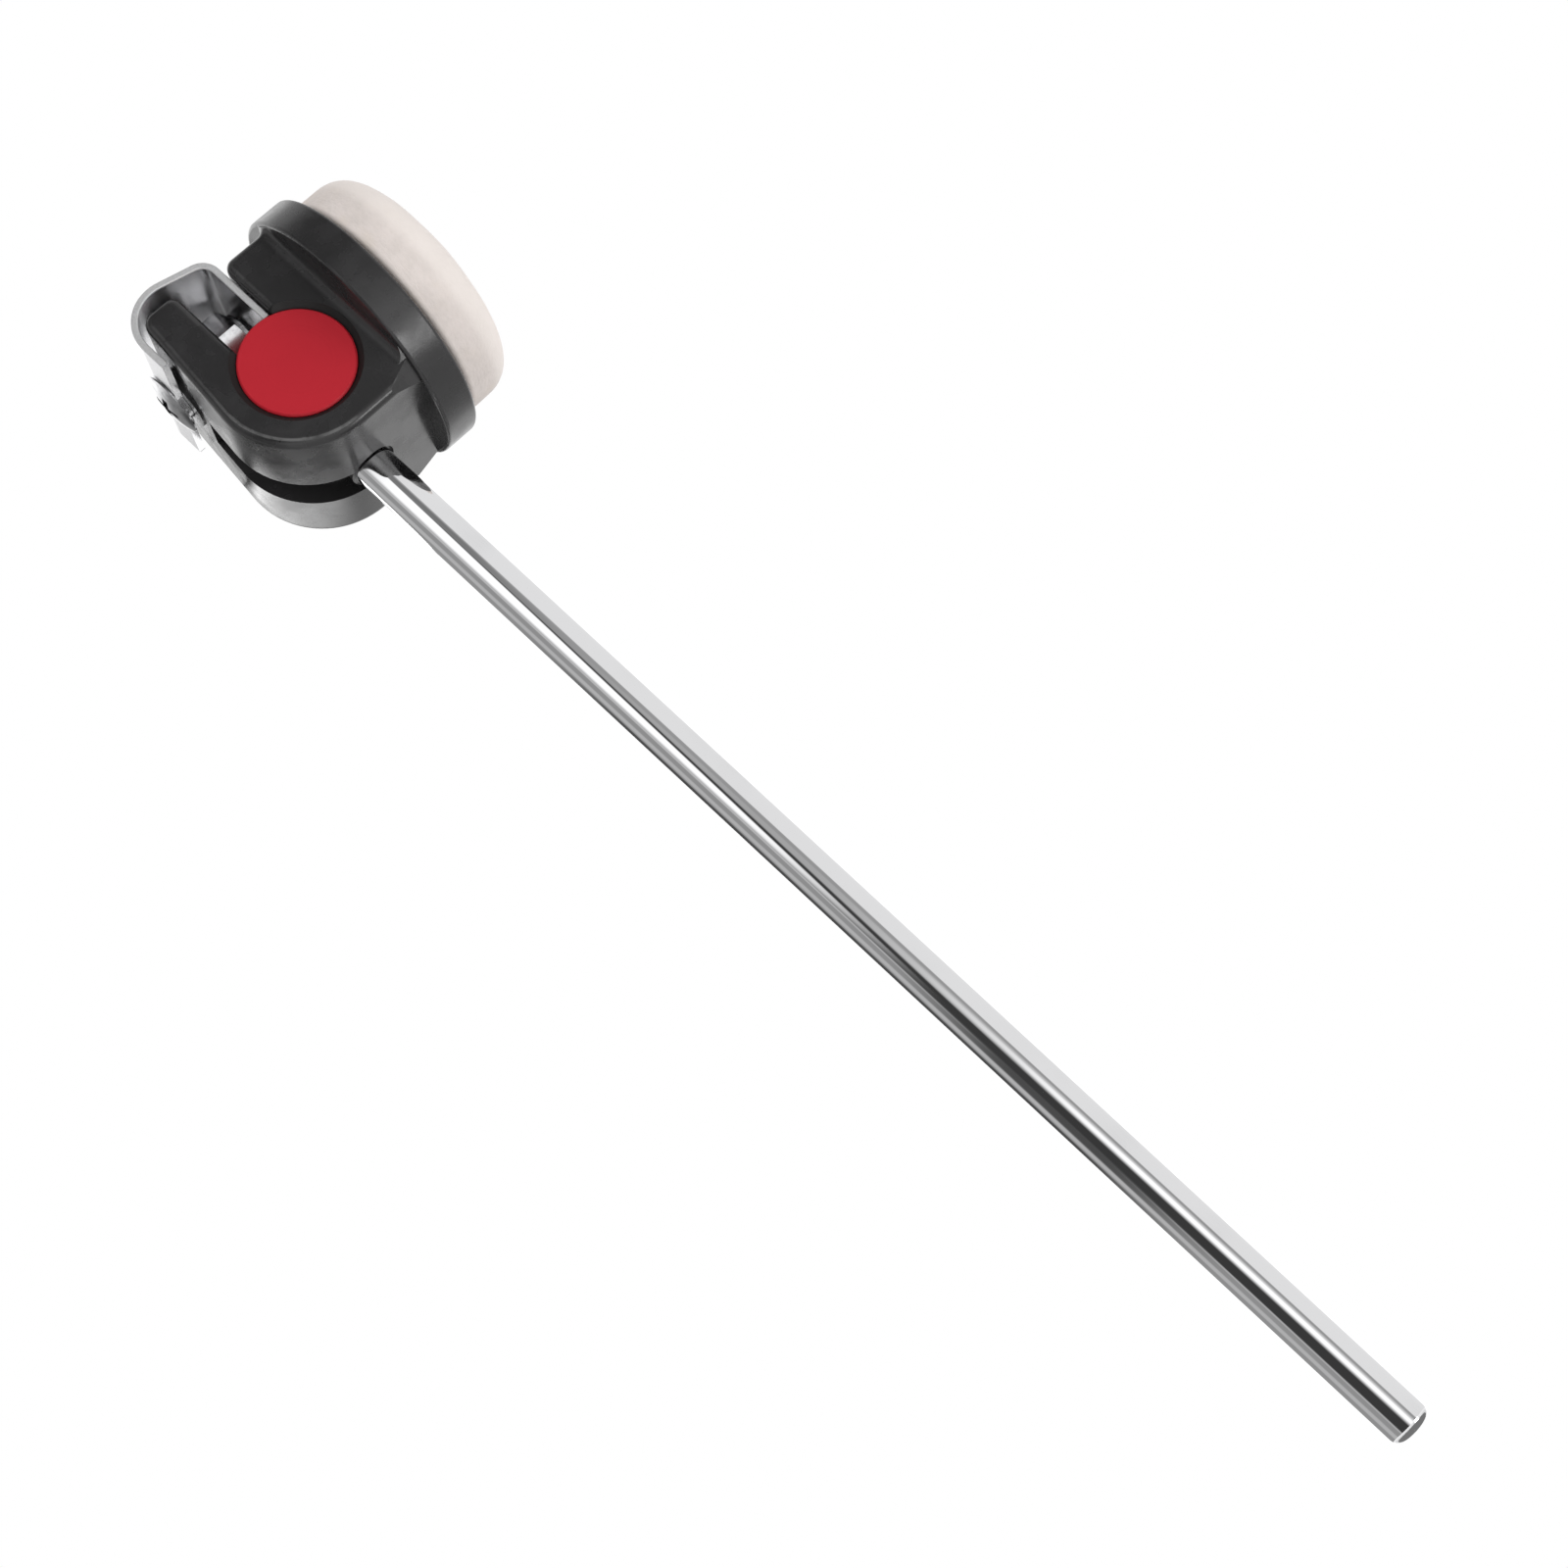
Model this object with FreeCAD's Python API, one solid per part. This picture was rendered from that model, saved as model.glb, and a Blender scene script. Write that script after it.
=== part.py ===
import FreeCAD, Part
import math
import os

# Bass drum beater: a chromed shaft, a moulded head, a felt pad and a clipped-in counterweight.
# Z runs up the shaft, X points the way the felt strikes and Y lies along the counterweight.
# The origin is on the shaft's axis, where its straight wall begins above the rounded tip.
# All lengths are in millimetres.

# Shaft
shaft_d = 8.0
shaft_tip_round = 1.6
root_groove_depth = 0.6
root_groove_width = 1.0
root_wall = 0.9
shaft_mouth = 0.6
shaft_mouth_depth = 0.6

# Counterweight
weight_d = 21.0
weight_length = 34.6
weight_edge = 0.3
weight_gap = 0.1

# Head body, moulded in one piece
bore_z = 256.4
body_width = 35.8
ring_wall = 5.8
bore_mouth = 1.1
body_edge = 1.6
groove_width = 7.7
groove_depth = 3.6
groove_offset = 1.7
socket_wall = 0.7
groove_rise = 8.0

# Rear finger and the slot between it and the front block
slot_rear_x = -6.2
finger_thickness = 7.7
finger_above_bore = 14.4
finger_rear_round = 2.6
finger_front_round = 2.2
block_above_bore = 12.6
block_round = 2.2
seat_boss_height = 1.7
seat_boss_d = 13.0

# Flange behind the felt
front_wall = 3.1
flange_d = 52.7
flange_thickness = 7.2
flange_rise = 5.25
flange_edge = 0.7
flange_cove = 2.2
web_flare = 4.0

# Felt pad and its bond
felt_d = 47.7
felt_side = 6.4
felt_crown = 9.0
felt_corner = 6.0
bond_thickness = 0.4
bond_inset = 1.0

# Clip screw, washer and lock nut
screw_d = 8.0
screw_above_bore = 7.75
screw_clearance = 0.2
screw_head_d = 12.6
screw_head_height = 1.4
screw_head_rim = 0.3
screw_end_chamfer = 0.5
recess_length = 5.6
recess_width = 1.4
recess_depth = 1.1
thread_gap = 0.04
washer_d = 16.0
washer_thickness = 1.6
nut_flats = 13.0
nut_hex_height = 4.8
nut_chamfer = 0.5
nut_collar_d = 11.6
nut_collar_height = 1.2
nut_collar_round = 0.4
nut_lip = 0.3
insert_wall = 0.8

# Spring clip, bent from flat strip
strip_thickness = 1.3
clip_width = 33.0
clip_edge = 0.3
clip_rear_bend = 8.5
clip_front_bend = 4.0
clip_rise_rear = 6.8
clip_rise_front = 1.8
clip_below_screw = 2.4
clip_seat_gap = 0.1
clip_slot_gap = 0.3
clip_nut_gap = 0.35
clip_tip_gap = 0.3

# Cuts run past the faces that they open by this much
overrun = 1.0

# Places that follow from the sizes
shaft_r = shaft_d / 2
weight_r = weight_d / 2
bore_r = weight_r + weight_gap
ring_r = bore_r + ring_wall
half_width = body_width / 2
web_z = bore_z - ring_r
root_z = bore_z - bore_r - root_wall
bore_top_z = bore_z + bore_r
finger_rear_x = slot_rear_x - finger_thickness
finger_top_z = bore_top_z + finger_above_bore
block_top_z = bore_top_z + block_above_bore
flange_x = bore_r + front_wall
flange_front_x = flange_x + flange_thickness
flange_z = bore_z + flange_rise
screw_r = screw_d / 2
screw_z = bore_top_z + screw_above_bore
nut_x = slot_rear_x + washer_thickness
collar_x = nut_x + nut_hex_height
nut_front_x = collar_x + nut_collar_height
seat_x = finger_rear_x - seat_boss_height
rear_leg_x = seat_x - clip_seat_gap
clip_rear_x = rear_leg_x - strip_thickness
front_leg_x = nut_front_x + clip_nut_gap
clip_front_x = front_leg_x + strip_thickness
slot_front_x = clip_front_x + clip_slot_gap
head_x = clip_rear_x - clip_seat_gap
slot_r = screw_r + screw_clearance
clip_low_z = screw_z - clip_below_screw

X_AXIS = FreeCAD.Vector(1, 0, 0)
Y_AXIS = FreeCAD.Vector(0, 1, 0)
Z_AXIS = FreeCAD.Vector(0, 0, 1)


def at(x, y, z):
    return FreeCAD.Vector(x, y, z)


def block(low, high):
    """Box between two corners."""
    size = high - low
    return Part.makeBox(size.x, size.y, size.z, low)


def rod_x(x0, x1, radius, z):
    """Cylinder along X in the middle plane, at height z."""
    return Part.makeCylinder(radius, x1 - x0, at(x0, 0, z), X_AXIS)


def rod_y(y0, y1, radius):
    """Cylinder along Y on the bore's axis."""
    return Part.makeCylinder(radius, y1 - y0, at(0, y0, bore_z), Y_AXIS)


def lathe(points, centre, axis):
    """Solid turned from a closed outline of points about an axis."""
    wire = Part.makePolygon(points + points[:1])
    return Part.Face(wire).revolve(centre, axis, 360)


def unit(a, b):
    step = b - a
    return step / step.Length


def rounded_path(corners, radii):
    """Edges of an open path in the XZ plane whose inner corners are rounded."""
    edges = []
    start = corners[0]
    for before, corner, after, radius in zip(corners, corners[1:], corners[2:], radii):
        back = unit(corner, before)
        ahead = unit(corner, after)
        if radius == 0:
            edges.append(Part.LineSegment(start, corner).toShape())
            start = corner
            continue
        half_angle = back.getAngle(ahead) / 2
        reach = radius / math.tan(half_angle)
        bisector = (back + ahead) / (back + ahead).Length
        centre = corner + bisector * (radius / math.sin(half_angle))
        first = corner + back * reach
        last = corner + ahead * reach
        edges.append(Part.LineSegment(start, first).toShape())
        edges.append(Part.Arc(first, centre - bisector * radius, last).toShape())
        start = last
    edges.append(Part.LineSegment(start, corners[-1]).toShape())
    return edges


def offset_path(corners, distance):
    """The corners of a path moved to its right-hand side, seen with X right and Z up."""
    lines = []
    for a, b in zip(corners, corners[1:]):
        way = unit(a, b)
        lines.append((a + at(way.z, 0, -way.x) * distance, way))
    moved = [lines[0][0]]
    for (p, u), (q, v) in zip(lines, lines[1:]):
        gap = q - p
        share = (gap.x * v.z - gap.z * v.x) / (u.x * v.z - u.z * v.x)
        moved.append(p + u * share)
    moved.append(lines[-1][0] + corners[-1] - corners[-2])
    return moved


def spread_y(edges, width):
    """Solid of a closed outline in the XZ plane, spread evenly to both sides."""
    face = Part.Face(Part.Wire(Part.sortEdges(edges)[0]))
    solid = face.extrude(Y_AXIS * width)
    solid.translate(Y_AXIS * (-width / 2))
    return solid


def ring_touch():
    """Where the finger's rear wall, drawn as a tangent, leaves the ring."""
    rise = finger_top_z - bore_z
    reach = math.hypot(finger_rear_x, rise)
    angle = math.atan2(rise, finger_rear_x) + math.acos(ring_r / reach)
    return at(ring_r * math.cos(angle), 0, bore_z + ring_r * math.sin(angle))


def rear_wall_corner():
    """Where the line of the finger's rear wall meets the level of the web."""
    top = at(finger_rear_x, 0, finger_top_z)
    step = ring_touch() - top
    return top + step * ((web_z - top.z) / step.z)


def make_shaft():
    """Rod with a rounded free end and two grooves that lock its root in the moulding."""
    length = root_z + shaft_tip_round
    rod = Part.makeCylinder(shaft_r, length, at(0, 0, -shaft_tip_round), Z_AXIS)
    tip = [e for e in rod.Edges if e.BoundBox.ZMax < 0 and len(e.Vertexes) == 1]
    rod = rod.makeFillet(shaft_tip_round, tip)
    for step in (0, 2):
        low = web_z + shaft_mouth_depth + step * root_groove_width
        base = at(0, 0, low)
        outer = Part.makeCylinder(shaft_r + overrun, root_groove_width, base, Z_AXIS)
        core = Part.makeCylinder(shaft_r - root_groove_depth, root_groove_width, base, Z_AXIS)
        rod = rod.cut(outer.cut(core))
    return rod


def make_weight():
    """Plain turned slug with chamfered ends."""
    slug = rod_y(-weight_length / 2, weight_length / 2, weight_r)
    rims = [e for e in slug.Edges if e.BoundBox.YLength < weight_edge]
    return slug.makeChamfer(weight_edge, rims)


def head_profile_solid():
    """Web, ring, finger and front block, with the edges of both side faces rounded."""
    inside_x = flange_x + flange_thickness / 2
    corners = [
        at(inside_x, 0, web_z),
        rear_wall_corner(),
        at(finger_rear_x, 0, finger_top_z),
        at(slot_rear_x, 0, finger_top_z),
        at(slot_rear_x, 0, bore_z),
        at(slot_front_x, 0, bore_z),
        at(slot_front_x, 0, block_top_z),
        at(inside_x, 0, block_top_z),
    ]
    radii = [ring_r, finger_rear_round, finger_front_round, 0, 0, block_round]
    edges = rounded_path(corners, radii)
    edges.append(Part.LineSegment(corners[-1], corners[0]).toShape())
    solid = spread_y(edges, body_width)
    rims = []
    for edge in solid.Edges:
        box = edge.BoundBox
        on_side = box.YLength < body_edge and abs(box.YMin) > half_width - body_edge
        in_flange = box.XMin > flange_x
        slot_floor = box.ZLength < body_edge and abs(box.ZMin - bore_z) < body_edge
        if on_side and not in_flange and not slot_floor:
            rims.append(edge)
    return solid.makeFillet(body_edge, rims)


def make_flange():
    disc = rod_x(flange_x, flange_front_x, flange_d / 2, flange_z)
    rims = [e for e in disc.Edges if e.BoundBox.XLength < flange_edge]
    return disc.makeFillet(flange_edge, rims)


def cove_face(root, out):
    """Section of a concave blend between a wall of the block and the back of the flange."""
    wall = root - X_AXIS * flange_cove
    disc = root + out * flange_cove
    centre = wall + out * flange_cove
    waist = centre + unit(centre, root) * flange_cove
    edges = [
        Part.LineSegment(root, wall).toShape(),
        Part.Arc(wall, waist, disc).toShape(),
        Part.LineSegment(disc, root).toShape(),
    ]
    return Part.Face(Part.Wire(edges))


def make_cove():
    """Concave blend from the sides and the top of the block to the flange, inside its rim."""
    turn_y = half_width - body_edge
    turn_z = block_top_z - body_edge
    cove = cove_face(at(flange_x, -turn_y, block_top_z), Z_AXIS).extrude(Y_AXIS * (2 * turn_y))
    for way in (1, -1):
        foot = cove_face(at(flange_x, way * half_width, web_z), Y_AXIS * way)
        head = cove_face(at(flange_x, way * half_width, turn_z), Y_AXIS * way)
        corner = head.revolve(at(0, way * turn_y, turn_z), X_AXIS * way, 90)
        cove = cove.fuse([foot.extrude(Z_AXIS * (turn_z - web_z)), corner])
    return cove.common(rod_x(flange_x - flange_cove, flange_x, flange_d / 2 - flange_edge, flange_z))


def ring_groove():
    """Channel from behind the shaft's socket round the ring and up the back of the finger."""
    y0 = groove_offset - groove_width / 2
    y1 = groove_offset + groove_width / 2
    touch = ring_touch()
    reach = ring_r + overrun
    hoop = rod_y(y0, y1, reach).cut(rod_y(y0, y1, ring_r - groove_depth))
    hoop = hoop.common(block(at(-reach, y0, bore_z - reach), at(0, y1, touch.z)))
    socket = at(0, 0, web_z - overrun)
    hoop = hoop.cut(Part.makeCylinder(shaft_r + socket_wall, ring_r, socket, Z_AXIS))
    outward = unit(at(0, 0, bore_z), touch)
    climb = at(finger_rear_x, 0, finger_top_z) - touch
    climb = climb * (groove_rise / climb.z)
    inside = touch - outward * groove_depth + Y_AXIS * y0
    outside = touch + outward * overrun + Y_AXIS * y0
    outline = Part.makePolygon([inside, outside, outside + climb, inside + climb, inside])
    return hoop.fuse(Part.Face(outline).extrude(Y_AXIS * groove_width))


def bore_cut():
    """Bore for the counterweight with a lead-in at both mouths."""
    side = half_width + overrun
    cut = rod_y(-side, side, bore_r)
    mouth_r = bore_r + bore_mouth
    for way in (1, -1):
        face = at(0, way * half_width, bore_z)
        cut = cut.fuse(Part.makeCone(mouth_r, bore_r, bore_mouth, face, Y_AXIS * -way))
    return cut


def web_trim():
    """Cone round the flange's axis that keeps the web's corners inside the flange's rim."""
    edge_r = flange_d / 2 - flange_edge
    back_x = -ring_r - overrun
    back_r = edge_r + web_flare * (flange_x - back_x) / flange_x
    cone = Part.makeCone(back_r, edge_r, flange_x - back_x, at(back_x, 0, flange_z), X_AXIS)
    return cone.fuse(rod_x(flange_x, flange_front_x, edge_r, flange_z))


def seat_boss():
    """Flat seat for the clip on the sloping back of the finger, ending where the clip bends."""
    boss = rod_x(seat_x, slot_rear_x, seat_boss_d / 2, screw_z)
    low = at(seat_x, -seat_boss_d, screw_z - seat_boss_d)
    return boss.common(block(low, at(slot_rear_x, seat_boss_d, clip_bend_z())))


def make_head_body(shaft):
    body = head_profile_solid().common(web_trim()).fuse([make_flange(), make_cove(), seat_boss()])
    body = body.cut(bore_cut()).cut(ring_groove())
    body = body.cut(rod_x(seat_x - overrun, slot_rear_x + overrun, slot_r, screw_z))
    mouth_r = shaft_r + shaft_mouth
    mouth = Part.makeCylinder(mouth_r, shaft_mouth_depth, at(0, 0, web_z), Z_AXIS)
    return body.cut(mouth).cut(shaft).removeSplitter()


def make_felt():
    """Crowned pad: a straight side, a rounded corner and a shallow dome on the strike face."""
    radius = felt_d / 2
    back_x = flange_front_x + bond_thickness
    side_x = back_x + felt_side
    rim = radius - felt_corner
    dome_r = (felt_crown ** 2 + rim ** 2 - felt_corner ** 2) / (2 * (felt_crown - felt_corner))
    dome_x = side_x + felt_crown - dome_r
    turn = math.atan2(rim, side_x - dome_x)

    def on_corner(angle):
        return at(side_x + felt_corner * math.cos(angle), 0, flange_z + rim + felt_corner * math.sin(angle))

    def on_dome(angle):
        return at(dome_x + dome_r * math.cos(angle), 0, flange_z + dome_r * math.sin(angle))

    quarter = math.pi / 2
    back = at(back_x, 0, flange_z)
    side = at(back_x, 0, flange_z + radius)
    edges = [
        Part.LineSegment(back, side).toShape(),
        Part.LineSegment(side, on_corner(quarter)).toShape(),
        Part.Arc(on_corner(quarter), on_corner((quarter + turn) / 2), on_corner(turn)).toShape(),
        Part.Arc(on_dome(turn), on_dome(turn / 2), on_dome(0)).toShape(),
        Part.LineSegment(on_dome(0), back).toShape(),
    ]
    return Part.Face(Part.Wire(edges)).revolve(back, X_AXIS, 360)


def make_bond():
    """Thin adhesive disc between the flange and the felt."""
    return rod_x(flange_front_x, flange_front_x + bond_thickness, felt_d / 2 - bond_inset, flange_z)


def make_screw():
    """Low dome-headed machine screw with a cross recess, lying along X."""
    dome = screw_head_height - screw_head_rim
    dome_r = ((screw_head_d / 2) ** 2 + dome ** 2) / (2 * dome)
    top_x = head_x - screw_head_height
    head = rod_x(top_x, head_x, screw_head_d / 2, screw_z)
    head = head.common(Part.makeSphere(dome_r, at(top_x + dome_r, 0, screw_z)))
    shank = rod_x(head_x, nut_front_x, screw_r, screw_z)
    rim = [e for e in shank.Edges if e.BoundBox.XMin > nut_front_x - screw_end_chamfer]
    screw = head.fuse(shank.makeChamfer(screw_end_chamfer, rim))
    for along, across in ((recess_length, recess_width), (recess_width, recess_length)):
        low = at(top_x - overrun, -along / 2, screw_z - across / 2)
        screw = screw.cut(block(low, at(top_x + recess_depth, along / 2, screw_z + across / 2)))
    return screw


def make_washer():
    disc = rod_x(slot_rear_x, nut_x, washer_d / 2, screw_z)
    return disc.cut(rod_x(slot_rear_x, nut_x, slot_r, screw_z))


def insert_span():
    """Start, end and outer radius of the nylon ring inside the nut's collar."""
    return collar_x, nut_front_x - nut_lip, screw_r + thread_gap + insert_wall


def make_nut():
    """Hexagon, with corners at its two sides, and a round collar that holds the locking ring."""
    corner_r = nut_flats / math.sqrt(3)
    flat_r = nut_flats / 2
    corners = []
    for index in range(6):
        angle = math.radians(60 * index + 30)
        corners.append(at(nut_x, corner_r * math.sin(angle), screw_z + corner_r * math.cos(angle)))
    hexagon = Part.Face(Part.makePolygon(corners + corners[:1])).extrude(X_AXIS * nut_hex_height)
    outline = [
        (nut_x, 0),
        (nut_x, flat_r),
        (nut_x + nut_chamfer, corner_r),
        (collar_x - nut_chamfer, corner_r),
        (collar_x, flat_r),
        (collar_x, 0),
    ]
    barrel = lathe([at(x, 0, screw_z + r) for x, r in outline], at(0, 0, screw_z), X_AXIS)
    collar = rod_x(nut_x, nut_front_x, nut_collar_d / 2, screw_z)
    rim = [e for e in collar.Edges if e.BoundBox.XMin > nut_front_x - nut_collar_round]
    nut = hexagon.common(barrel).fuse(collar.makeFillet(nut_collar_round, rim))
    start, end, ring = insert_span()
    nut = nut.cut(rod_x(nut_x, nut_front_x, screw_r + thread_gap, screw_z))
    nut = nut.cut(rod_x(start, end, ring, screw_z))
    return nut.cut(rod_x(end, nut_front_x, ring - insert_wall / 2, screw_z))


def make_insert():
    start, end, ring = insert_span()
    return rod_x(start, end, ring, screw_z).cut(rod_x(start, end, screw_r + thread_gap, screw_z))


def clip_tip_z():
    """Height of the front leg's end, just clear of the counterweight below it."""
    nearest = max(front_leg_x, 0)
    return bore_z + math.sqrt((weight_r + clip_tip_gap) ** 2 - nearest ** 2)


def clip_corners():
    """Outer corners of the bent strip, from the rear leg's end over the finger to the tip."""
    return [
        at(clip_rear_x, 0, clip_low_z),
        at(clip_rear_x, 0, finger_top_z + clip_rise_rear),
        at(clip_front_x, 0, finger_top_z + clip_rise_front),
        at(clip_front_x, 0, clip_tip_z()),
    ]


def clip_bend_z():
    """Height at which the rear leg starts to bend over the finger."""
    low, corner, ahead = clip_corners()[:3]
    half_angle = unit(corner, low).getAngle(unit(corner, ahead)) / 2
    return corner.z - clip_rear_bend / math.tan(half_angle)


def clip_fork():
    """Screw slot in the rear leg, open at the bottom so that the clip lifts off the screw."""
    low = at(clip_rear_x - overrun, -slot_r, clip_low_z - overrun)
    slot = block(low, at(rear_leg_x + overrun, slot_r, screw_z))
    return slot.fuse(rod_x(clip_rear_x - overrun, rear_leg_x + overrun, slot_r, screw_z))


def make_clip():
    """Strip bent over the finger: rear leg on the screw, front leg down to the counterweight."""
    corners = clip_corners()
    inner = offset_path(corners, strip_thickness)
    bends = [clip_rear_bend, clip_front_bend]
    edges = rounded_path(corners, bends)
    edges += rounded_path(inner, [bend - strip_thickness for bend in bends])
    edges.append(Part.LineSegment(corners[0], inner[0]).toShape())
    edges.append(Part.LineSegment(corners[-1], inner[-1]).toShape())
    strip = spread_y(edges, clip_width)
    rims = []
    for edge in strip.Edges:
        box = edge.BoundBox
        long_enough = max(box.XLength, box.ZLength) > strip_thickness + clip_edge
        if box.YLength < clip_edge and long_enough:
            rims.append(edge)
    return strip.makeFillet(clip_edge, rims).cut(clip_fork())


def main():
    os.makedirs("parts", exist_ok=True)
    shaft = make_shaft()
    pieces = {
        "shaft": shaft,
        "head_body": make_head_body(shaft),
        "counterweight": make_weight(),
        "felt_pad": make_felt(),
        "felt_bond": make_bond(),
        "spring_clip": make_clip(),
        "clip_screw": make_screw(),
        "nut_washer": make_washer(),
        "lock_nut": make_nut(),
        "lock_nut_insert": make_insert(),
    }
    for name, shape in pieces.items():
        box = shape.BoundBox
        print(f"{name}: {len(shape.Solids)} solid, valid {shape.isValid()}, {shape.Volume:.1f} mm3, "
              f"{box.XLength:.1f} x {box.YLength:.1f} x {box.ZLength:.1f}")
        shape.exportStep(f"parts/{name}.step")


main()
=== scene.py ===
import logging
import math
from dataclasses import dataclass
from enum import Enum
from typing import Dict, List, Mapping, Tuple, Union

import bmesh
import bpy
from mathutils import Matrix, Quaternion, Vector, noise


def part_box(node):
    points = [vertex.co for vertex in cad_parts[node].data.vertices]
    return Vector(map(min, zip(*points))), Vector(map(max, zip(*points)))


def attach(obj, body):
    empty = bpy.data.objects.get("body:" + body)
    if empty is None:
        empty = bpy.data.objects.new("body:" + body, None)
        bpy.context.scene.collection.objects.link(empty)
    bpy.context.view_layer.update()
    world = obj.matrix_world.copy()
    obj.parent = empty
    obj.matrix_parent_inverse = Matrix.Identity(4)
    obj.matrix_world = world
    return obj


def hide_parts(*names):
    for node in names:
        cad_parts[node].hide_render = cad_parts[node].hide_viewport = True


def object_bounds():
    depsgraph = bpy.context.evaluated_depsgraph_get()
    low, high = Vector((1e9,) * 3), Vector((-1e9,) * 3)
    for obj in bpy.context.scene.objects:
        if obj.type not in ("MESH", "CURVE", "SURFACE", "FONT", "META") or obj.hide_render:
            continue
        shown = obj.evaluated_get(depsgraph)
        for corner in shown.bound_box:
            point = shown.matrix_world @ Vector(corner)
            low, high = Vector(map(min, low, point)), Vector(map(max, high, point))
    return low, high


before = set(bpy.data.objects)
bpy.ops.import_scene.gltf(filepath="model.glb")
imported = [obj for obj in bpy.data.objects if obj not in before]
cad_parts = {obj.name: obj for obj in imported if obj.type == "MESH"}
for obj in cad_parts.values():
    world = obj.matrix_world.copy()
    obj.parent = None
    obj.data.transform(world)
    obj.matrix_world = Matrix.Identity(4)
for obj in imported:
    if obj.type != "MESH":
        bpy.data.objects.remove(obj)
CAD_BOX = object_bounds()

LOG = logging.getLogger("beater")
MM = 0.001
FULL_TURN = 360.0
WHITE = (1.0, 1.0, 1.0, 1.0)
BORE_INSET = 0.6 * MM
BORE_BEVEL = 1.3 * MM

# Sockets of a Mix node that mixes colours
MIX_SHARE = 0
MIX_LOW = 6
MIX_HIGH = 7
MIX_RESULT = 2

Point = Tuple[float, float, float]
Colour = Tuple[float, float, float, float]
Band = Tuple[float, float]
Layers = Tuple[float, float]
Link = Union["Signal", float, Tuple[float, ...], Vector]
SocketKey = Union[str, int]


class Turned(Enum):
    """The axis that a piece was turned about, as the two coordinates that its radius is measured in."""

    ABOUT_X = (0.0, 1.0, 1.0)
    ABOUT_Y = (1.0, 0.0, 1.0)
    ABOUT_Z = (1.0, 1.0, 0.0)


class Signal:
    """A node's output that can stand in a Python expression. Each operator adds one Math node."""

    def __init__(self, sheet: "NodeSheet", socket: bpy.types.NodeSocket) -> None:
        """Keeps the socket and the sheet that its node is on."""
        self.sheet = sheet
        self.socket = socket

    def __add__(self, other: Link) -> "Signal":
        """Adds a value."""
        return self.sheet.maths("ADD", self, other)

    def __radd__(self, other: Link) -> "Signal":
        """Adds to a value."""
        return self.sheet.maths("ADD", other, self)

    def __sub__(self, other: Link) -> "Signal":
        """Takes a value away."""
        return self.sheet.maths("SUBTRACT", self, other)

    def __rsub__(self, other: Link) -> "Signal":
        """Is taken away from a value."""
        return self.sheet.maths("SUBTRACT", other, self)

    def __mul__(self, other: Link) -> "Signal":
        """Multiplies by a value."""
        return self.sheet.maths("MULTIPLY", self, other)

    def __rmul__(self, other: Link) -> "Signal":
        """Multiplies a value."""
        return self.sheet.maths("MULTIPLY", other, self)

    def __abs__(self) -> "Signal":
        """Drops the sign."""
        return self.sheet.maths("ABSOLUTE", self)

    def rise(self, start: float, end: float) -> "Signal":
        """Goes smoothly from 0 at start to 1 at end.

        Args:
            start: the value below which the result is 0.
            end: the value above which the result is 1.

        Returns:
            The eased share, between 0 and 1.
        """
        settings = {"interpolation_type": "SMOOTHSTEP"}
        inputs = {"Value": self, "From Min": start, "From Max": end}
        return self.sheet.signal("ShaderNodeMapRange", "Result", settings, inputs)

    def within(self, low: float, high: float, soft: float) -> "Signal":
        """Is 1 between two values and fades out past them.

        Args:
            low: the lower edge, at the middle of its fade.
            high: the upper edge, at the middle of its fade.
            soft: the width of each fade.

        Returns:
            The mask, between 0 and 1.
        """
        above = self.rise(low - soft / 2, low + soft / 2)
        past = self.rise(high - soft / 2, high + soft / 2)
        return above * (1 - past)


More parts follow.
